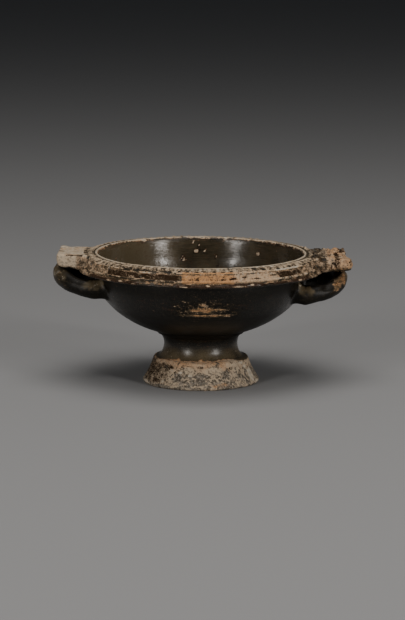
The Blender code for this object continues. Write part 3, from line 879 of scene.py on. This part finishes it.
def coat_foot(coat, skin, zone):
    """Bare pinkish clay, greyer and dirtier to the left, with brown stains and pale crusts."""
    height, small, middle = skin.height / MM, zone.small, zone.middle
    right = ramp(skin.bearing, 35.0, 70.0)
    coat.lay(zone.foot, clay=0.8 + 0.12 * middle, warm=0.012 * height + 0.15 * middle,
             crust=0.68 - 0.016 * height + 0.12 * middle + 0.08 * zone.fine, thin=0.9,
             stain=0.34 + 0.08 * middle + 0.05 * small - 0.004 * height - 0.03 * right)
    top_edge = zone.foot * ramp(height + 1.6 * middle, 12.0, 15.0)
    coat.lay(top_edge, clay=0.7 + 0.16 * middle + 0.16 * small, stain=0.25 + 0.14 * small,
             crust=0.22 + 0.2 * zone.patchy + 0.16 * small, warm=0.28 + 0.3 * zone.patchy)
    left = skin.arc(-86, -38, 8.0, 4.0 * small) * band(height, 4.0, 14.0, 2.5)
    coat.lay(zone.foot * left, stain=0.46 + 0.1 * small, crust=0.34, clay=0.55)
    coat.add_spots("stain", zone.foot, FOOT_STAINS, 0.55)
    coat.add_spots("warm", zone.foot, [(21.5, 2.9, 7.0, 1.4)], 0.6)
    left_edge = skin.arc(-106, -68, 14.0, 7.0 * small + 6.0 * middle)
    left_edge *= ramp(height + 2.0 * middle, 3.0, 7.0)
    coat.lay(zone.foot * left_edge, stain=0.54, crust=0.28, clay=0.5)
    coat.add_spots("crust", zone.foot, FOOT_CRUSTS, 0.9)
    coat.lay_spots(zone.foot, FOOT_CRUSTS, stain=0.0)
    coat.lay(zone.hollow, clay=0.8 + 0.2 * middle, warm=0.5, crust=0.3 + 0.2 * middle)


def coat_rim(coat, skin, zone):
    """Eggs, ridge and lip worn pale; the face bare and orange in front and slipped beside it."""
    small, fine, middle = zone.small, zone.fine, zone.middle
    height = skin.height / MM
    belly = BELLY_HEIGHT / MM
    back = skin.arc(95, 265, 4.0)
    coat.lay(zone.rim, clay=0.32 + 0.1 * small, crust=0.26 + 0.12 * small, thin=0.9, warm=0.5)
    coat.lay(zone.eggs, clay=0.28 + 0.5 * zone.crowns + 0.08 * small + 0.1 * middle,
             crust=0.18 + 0.22 * zone.crowns + 0.08 * small, warm=0.2, thin=1.0,
             stain=0.2 - 0.2 * zone.crowns)
    wander = 2.5 * small + 2.0 * fine + 1.5 * middle
    bare = skin.arc(-10.5, 38, 1.2, wander)
    dark = np.maximum(skin.arc(-50, -9.0, 1.2, wander), skin.arc(37.5, 55, 1.2, wander))
    share = 0.5 + 0.1 * small
    share += (0.86 + 0.1 * small - share) * bare
    share += (0.2 + 0.16 * small + 0.1 * middle - share) * dark
    share += (0.3 + 0.25 * middle - share) * back
    tan = skin.arc(-13, 15, 5.0, wander)
    warm = 0.38 + 0.6 * tan
    warm += (0.35 - warm) * dark
    crust = 0.08 + 0.1 * middle + 0.24 * bare * (1.0 - tan)
    brown = np.maximum(dark, 0.8 * back) * (1.0 - bare)
    share += (0.66 + 0.12 * small - share) * brown
    soil = 0.2 + 0.14 * small + 0.16 * tan + (0.47 + 0.1 * middle) * brown
    coat.lay(zone.face, clay=share, warm=warm, crust=crust, stain=soil)
    coat.add_spots("stain", zone.face, FACE_STAINS, 0.62)
    coat.add_spots("clay", zone.rim, FACE_CHIPS, 1.0)
    coat.add_spots("crust", zone.rim, CHALKY_FACE_CHIPS, 0.75)
    edge_line = 0.34 + 0.28 * middle + 0.26 * small + 0.14 * fine
    pale_side = np.maximum(skin.arc(-62, -27, 5.0), skin.arc(46, 80, 5.0))
    edge_line += 0.2 * pale_side
    dull = skin.arc(-50, -11, 4.0)
    coat.lay(zone.ridge, clay=edge_line - 0.1 * dull, warm=0.25, crust=0.38 - 0.2 * dull)
    coat.lay(zone.fillet, clay=edge_line + 0.05 - 0.25 * dull, warm=0.3, crust=0.38 - 0.3 * dull)
    coat.lay(zone.ridge * skin.arc(38, 54, 1.0), clay=0.9, warm=0.0, crust=0.7)
    coat.lay((zone.ridge + zone.fillet) * bare, clay=0.82 + 0.12 * small, warm=warm, crust=crust,
             stain=0.24 + 0.14 * small)
    coat.lay(zone.bead, clay=0.5 + 0.16 * small + 0.1 * middle, warm=0.35, stain=0.62 + 0.1 * small,
             crust=0.1, thin=0.5)
    line = zone.bead * band(height, belly + 0.1, belly + 0.6, 0.3)
    coat.lay(line, clay=0.38 + 0.2 * middle + 0.15 * pale_side, warm=0.25)
    coat.add_spots("clay", zone.bead, BEAD_BITS, 1.0)
    coat.lay_spots(zone.bead, BEAD_BITS, stain=0.1, crust=0.4)
    # Painted shade: the bottom of the bead, up to 0.6 mm above the belly, is set to black slip so that
    # it merges with the shade under the rim.
    coat.lay(zone.bead * (1.0 - ramp(height, belly, belly + 0.6)), clay=0.0, crust=0.0, thin=0.3)
    coat.lay(zone.lip, clay=0.66 + 0.14 * small + 0.14 * middle, warm=0.1, crust=0.54, stain=0.03,
             thin=0.8)
    mouth = MOUTH_RADIUS / MM
    line = zone.lip * band(skin.radius / MM, mouth - 0.5, mouth + 0.35, 0.3)
    coat.lay(line, clay=0.8 + 0.16 * middle + 0.12 * small, warm=0.1, crust=0.6, stain=0.04)


def coat_handles(coat, skin, zone):
    """Plates bare and chalky, the right one warmer and pitted; loops slipped, worn at the ends."""
    small, middle, fine = zone.small, zone.middle, zone.fine
    x, depth, _z = skin.points.T / MM
    reach, front, up = np.abs(x), depth < 0, skin.normals[:, 2]
    shown = ramp(up, -0.6, -0.3)
    coat.lay(zone.slab * (1.0 - zone.eggs), clay=0.2 + 0.1 * small, thin=0.9)
    for side, tone, dirt in ((zone.left, 0.1, 0.12), (zone.right, 0.45, 0.17)):
        bare = side * shown * (1.0 - zone.eggs) * (1.0 - zone.knobs)
        coat.lay(bare, clay=0.85 + 0.1 * small, warm=tone + 0.15 * middle,
                 crust=0.34 + 0.14 * small, stain=dirt + 0.12 * small)
    top = zone.left * zone.top * (1.0 - zone.eggs)
    streaky = grain(skin.points * [0.3, 1.0, 1.0], 1.8 * MM, 51)
    coat.lay(top, warm=0.2 + 0.2 * middle, stain=0.04 + 0.5 * ramp(streaky, 0.3, 1.0), crust=0.52)
    streaks = zone.left * band(depth + 0.6 * small, -18.4, -16.2, 0.5) * (up > 0.3)
    coat.lay(streaks * band(reach, 79.0, 89.5, 1.0), stain=0.62, crust=0.2)
    coat.lay(zone.lumps * zone.top, crust=0.45, warm=0.6)
    shady = zone.slab * (x > 0) * zone.top * (1.0 - ramp(reach, 80.0, 84.0))
    coat.lay(shady, clay=0.4 + 0.2 * small, crust=0.42 + 0.2 * fine, stain=0.4, warm=0.1)
    # Soil and painted shade: the pits between the lumps are darkened.
    coat.lay(zone.pits, stain=0.5, crust=0.25)
    knob = zone.right * ramp(reach, KNOB_START - 1.0, KNOB_START + 1.0) * front
    coat.lay(knob, stain=0.38 + 0.12 * small, warm=0.5, crust=0.2)
    # Soil and painted shade: the hollows between the lumps and the dent before the knob are darkened.
    hollows = np.maximum(zone.right * ramp(-zone.fine - zone.small, 0.3, 1.0), zone.dent)
    coat.lay(hollows * ramp(-reach, -KNOB_START - 1.0, -KNOB_START + 1.0), stain=0.58, crust=0.2)
    side = zone.left * (1.0 - zone.top) * (1.0 - zone.knobs)
    coat.lay(side, crust=0.42, stain=0.2, warm=0.0)
    coat.lay(zone.loop, thin=0.95, clay=0.03 * small, crust=0.1 + 0.05 * middle,
             warm=0.05 + 0.2 * middle, stain=0.15)
    outer = zone.loop * ramp(reach + 3.0 * small, 90.0, 99.0)
    outer *= ramp(up + 0.3 * middle, -0.9, 0.4)
    coat.lay(outer, warm=0.75 + 0.2 * middle, clay=0.16 + 0.12 * small, crust=0.46 + 0.12 * small,
             thin=1.0)
    worn_end = zone.loop * (x > 0) * front
    worn_end *= band(reach + small, 87.0, 94.0, 2.5) * band(up + 0.15 * small, 0.0, 0.7, 0.3)
    coat.lay(worn_end, clay=0.5 + 0.14 * small, warm=0.7, crust=0.26, stain=0.42, thin=1.0)
    tips = zone.loop * ramp(reach, 93.0, 96.0) * ramp(up + 0.2 * small, -0.1, 0.8)
    coat.lay(tips, crust=0.46 + 0.1 * small, stain=0.25)
    roots = np.maximum(skin.spot(66.0, 68.5, 1.9, 4.0), 0.8 * skin.spot(-66.5, 70.0, 3.0, 4.0))
    roots = smooth_step(roots) * (zone.loop + zone.wall) * (skin.normals[:, 1] < 0)
    roots *= 1.0 - ramp(reach + 2.0 * small + 1.5 * middle, 70.0, 86.0)
    coat.lay(roots, warm=1.1 + 0.3 * middle, clay=0.2 + 0.1 * small, crust=0.4 + 0.1 * small, thin=1.0)
    back_corner = zone.right * ramp(reach + 1.5 * small, 91.0, 94.0)
    coat.lay(back_corner * ramp(depth + 2.5 * small + 2.0 * middle, 5.0, 9.0), stain=0.55, crust=0.25)
    # Painted shade: the right plate's downward faces are darkened through the stain share.
    shaded = zone.right * ramp(-up, 0.1, 0.5)
    coat.lay(shaded, stain=0.32)
    coat.lay(zone.knobs, clay=0.5 + 0.22 * small, crust=0.32 + 0.2 * fine, warm=0.35, thin=0.8,
             stain=0.38 + 0.12 * middle)


def linear(code):
    """An sRGB hex colour as linear red, green, blue and alpha."""
    parts = [int(code[at:at + 2], 16) / 255.0 for at in (1, 3, 5)]
    return [part / 12.92 if part <= 0.04045 else ((part + 0.055) / 1.055) ** 2.4
            for part in parts] + [1.0]


def set_inputs(tree, node, inputs):
    """Give a node's inputs values or links."""
    for key, value in inputs.items():
        if isinstance(value, bpy.types.NodeSocket):
            tree.links.new(value, node.inputs[key])
        else:
            node.inputs[key].default_value = value


def add_node(tree, kind, settings=None, inputs=None):
    """Add a node with its own settings, and give its inputs values or links."""
    made = tree.nodes.new(kind)
    for name, value in (settings or {}).items():
        setattr(made, name, value)
    set_inputs(tree, made, inputs or {})
    return made


def black_gloss_pottery():
    """Earthenware thrown on a wheel, dipped in fine slip and fired black. The slip is olive
    black with a soft gloss, dusty in its pores, and olive to brown where it is thin; the olive
    also paints a sheen inside the bowl. The bare clay is matt, cream to orange, with brown
    stains that also carry painted shade on the right plate, and a chalky crust lies in the hollows."""
    finish = bpy.data.materials.new("black slip on earthenware")
    finish.use_nodes = True
    tree = finish.node_tree
    shader = tree.nodes["Principled BSDF"]
    place = add_node(tree, "ShaderNodeTexCoord").outputs["Object"]

    def speckle(size, detail=2.0, roughness=0.5, flat=1.0, shift=0.0):
        """Noise with features of about this size in metres, flattened into level streaks."""
        spot = add_node(tree, "ShaderNodeMapping", None, {
            "Vector": place, "Location": (shift, shift, shift), "Scale": (1.0, 1.0, flat)})
        made = add_node(tree, "ShaderNodeTexNoise", None, {
            "Vector": spot.outputs["Vector"], "Scale": 1.0 / size, "Detail": detail,
            "Roughness": roughness})
        return made.outputs["Fac"]

    def maths(operation, first, second, third=0.0):
        made = add_node(tree, "ShaderNodeMath", {"operation": operation},
                        {0: first, 1: second, 2: third})
        return made.outputs[0]

    def weighted(value, weight, rest=0.0):
        return maths("MULTIPLY_ADD", value, weight, rest)

    def between(value, low, high):
        made = add_node(tree, "ShaderNodeMapRange", {"interpolation_type": "SMOOTHSTEP"}, {
            "Value": value, "From Min": low, "From Max": high})
        return made.outputs["Result"]

    def mixed(share, first, second):
        made = add_node(tree, "ShaderNodeMix", {"data_type": "RGBA"}, {
            "Factor": share, "A": first, "B": second})
        return made.outputs["Result"]

    worn = add_node(tree, "ShaderNodeAttribute", {"attribute_name": "worn"})
    stained = add_node(tree, "ShaderNodeAttribute", {"attribute_name": "stain"})
    parts = add_node(tree, "ShaderNodeSeparateColor", None, {"Color": worn.outputs["Color"]})
    clay_share, crust_share, thin_share = parts.outputs
    warm_share = worn.outputs["Alpha"]
    stain_share = stained.outputs["Fac"]

    # Sand grains, pores and worn patches of the clay, and streaks left by the wheel. Real
    # grains and pores are a tenth of a millimetre, finer than a pixel of the image, so they
    # are drawn several times as coarse.
    fine = speckle(0.8 * MM, 3.0)
    small = speckle(2.4 * MM, 3.0)
    broad = speckle(14 * MM)
    streak = speckle(6.0 * MM, 3.0, 0.6, 9.0)
    dirt = speckle(1.6 * MM, 4.0, 0.6, 1.0, 0.13)
    patchy = speckle(4.5 * MM, 3.0, 0.6, 1.6, 0.31)
    pores = speckle(0.55 * MM, 1.0, 0.5, 1.0, 0.07)

    ragged = weighted(fine, 1.0, weighted(small, 0.7, -1.3))
    ragged = weighted(streak, 0.9, ragged)
    bare_level = maths("ADD", clay_share, ragged)
    softness = weighted(thin_share, 0.17, 0.02)
    bare = between(bare_level, maths("SUBTRACT", 0.49, softness), maths("ADD", 0.49, softness))
    thin_edge = between(bare_level, 0.18, 0.46)
    uneven = weighted(dirt, 1.2, weighted(patchy, 0.9, -1.05))
    crusted = between(maths("ADD", crust_share, uneven), 0.44, 0.64)
    spotted = weighted(patchy, 0.9, weighted(fine, 1.0, -0.95))
    # The stain share also carries painted shade on the right plate; the brown stain, dirty clay and
    # grime below darken it too.
    stain = between(maths("ADD", stain_share, spotted), 0.40, 0.56)

    tone = weighted(broad, 0.5, weighted(streak, 0.5, warm_share))
    slip = mixed(between(tone, 0.6, 1.5), linear(SLIP_THICK), linear(SLIP_THIN_AND_SHEEN))
    slip = mixed(weighted(between(pores, 0.57, 0.74), 0.5), slip, linear(SLIP_DUST))
    worn_slip = mixed(between(thin_share, 0.5, 0.8), linear(SLIP_BROWN), linear(SLIP_WORN))
    slip = mixed(weighted(thin_edge, 0.7), slip, worn_slip)
    clay = mixed(between(weighted(small, 0.5, warm_share), 0.35, 1.05),
                 linear(CLAY_CREAM), linear(CLAY_ORANGE))
    clay = mixed(weighted(between(fine, 0.52, 0.7), 0.35), clay, linear(CLAY_PALE))
    dirt_and_shade = between(weighted(stain_share, 0.25, dirt), 0.53, 0.7)
    clay = mixed(weighted(dirt_and_shade, 0.6), clay, linear(CLAY_DIRTY_AND_SHADED))
    clay = mixed(stain, clay, linear(BROWN_STAIN_AND_SHADE))
    colour = mixed(bare, slip, clay)
    grime_and_shade = mixed(between(dirt, 0.38, 0.64), linear(CRUST_DIRTY), linear(CRUST_BLACK))
    chalk = mixed(weighted(between(small, 0.4, 0.6), 0.5), linear(CRUST_PALE),
                  linear(CRUST_DIRTY))
    chalk = mixed(between(stain_share, 0.08, 0.3), chalk, grime_and_shade)
    colour = mixed(weighted(crusted, 0.8), colour, chalk)

    rough = weighted(thin_share, 0.28)
    rough = weighted(pores, 0.24, rough)
    rough = weighted(patchy, 0.12, rough)
    matt = maths("MAXIMUM", bare, crusted)
    gloss = weighted(thin_share, -0.36, 0.55)
    gloss = weighted(gloss, weighted(matt, -0.6, 1.0))
    rough = add_node(tree, "ShaderNodeMix", None, {"Factor": matt, "A": rough, "B": 0.9})

    # The slip is a skin a tenth of a millimetre thick and the crust stands proud of it
    level = weighted(bare, -0.6)
    level = weighted(crusted, 0.7, level)
    level = weighted(fine, weighted(matt, 0.34, 0.5), level)
    level = weighted(small, 0.6, weighted(streak, 0.5, level))
    bump = add_node(tree, "ShaderNodeBump", None, {
        "Strength": 0.9, "Distance": 0.12 * MM, "Height": level})
    set_inputs(tree, shader, {
        "Base Color": colour, "Roughness": rough.outputs["Result"], "Metallic": 0.0, "IOR": 1.5,
        "Specular IOR Level": gloss, "Normal": bump.outputs["Normal"]})
    return finish


def studio_floor():
    data = bpy.data.meshes.new("floor")
    reach = 12.0
    corners = [(-reach, -reach, 0.0), (reach, -reach, 0.0), (reach, reach, 0.0), (-reach, reach, 0.0)]
    data.from_pydata(corners, [], [(0, 1, 2, 3)])
    paper = bpy.data.materials.new("pale matt paper")
    paper.use_nodes = True
    set_inputs(paper.node_tree, paper.node_tree.nodes["Principled BSDF"], {
        "Base Color": linear(FLOOR_GREY), "Roughness": 0.9, "Specular IOR Level": 0.2})
    data.materials.append(paper)
    floor = placed("floor", data)


def soft_light(name, bearing, elevation, distance, width, height, power):
    """A soft box that faces the bowl."""
    data = bpy.data.lights.new(name, "AREA")
    data.shape = "RECTANGLE"
    data.size, data.size_y = width, height
    data.energy = power
    data.color = linear(LAMP_WHITE)[:3]
    light = placed(name, data)
    turn, lift = math.radians(bearing), math.radians(elevation)
    light.location = (
        distance * math.sin(turn) * math.cos(lift),
        -distance * math.cos(turn) * math.cos(lift),
        distance * math.sin(lift) + 0.05)
    light.rotation_euler = (math.radians(90.0) - lift, 0.0, turn)


def photo_camera():
    data = bpy.data.cameras.new("camera")
    data.sensor_fit = "AUTO"
    data.sensor_width = 36.0
    data.lens = CAMERA_LENS
    camera = placed("camera", data)
    camera.location = CAMERA_PLACE
    camera.rotation_euler = (math.radians(90.0 - CAMERA_TILT), 0.0, 0.0)
    bpy.context.scene.camera = camera


def dressed_vessel():
    vessel = joined_vessel(black_gloss_pottery())
    data = vessel.data
    skin = Skin(data)
    ease_seams(skin)
    data.vertices.foreach_set("co", skin.points.ravel())
    data.update()
    skin.measure(data)
    zone = find_zones(skin)
    move = stand_out(skin, zone)
    skin.points = skin.points + skin.normals * move[:, None] + [AXIS_X, 0.0, 0.0]
    skin.points = np.clip(skin.points, CAD_BOX[0], CAD_BOX[1])
    data.vertices.foreach_set("co", skin.points.ravel())
    coat = Coat(skin)
    for part in (coat_bowl, coat_foot, coat_rim, coat_handles):
        part(coat, skin, zone)
    # The worn shares also carry the painted shade below the belly, under the rim and under the bead,
    # and the painted sheen inside the bowl.
    worn = np.column_stack([coat.clay, coat.crust, coat.thin, coat.warm])
    shares = data.attributes.new("worn", "FLOAT_COLOR", "POINT")
    shares.data.foreach_set("color", np.clip(worn, 0.0, 1.0).ravel())
    marks = data.attributes.new("stain", "FLOAT", "POINT")
    marks.data.foreach_set("value", np.clip(coat.stain, 0.0, 1.0))
    finish = data.materials[0]
    data.materials.clear()
    data.materials.append(finish)
    data.polygons.foreach_set("material_index", np.zeros(len(data.polygons), dtype=int))
    data.shade_smooth()
    data.update()
    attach(vessel, "root")
    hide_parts("krateriskos")


def soft_studio():
    world = bpy.data.worlds.new("studio")
    world.use_nodes = True
    set_inputs(world.node_tree, world.node_tree.nodes["Background"], {
        "Color": linear(SKY_GREY), "Strength": 0.06})
    bpy.context.scene.world = world
    soft_light("left box", -41, 13, 1.9, 0.2, 0.95, 14)
    soft_light("right box", 46, 13, 1.9, 0.2, 0.95, 17)
    soft_light("top box", 0, 78, 1.8, 1.5, 1.5, 21)


studio_floor()
dressed_vessel()
soft_studio()
photo_camera()
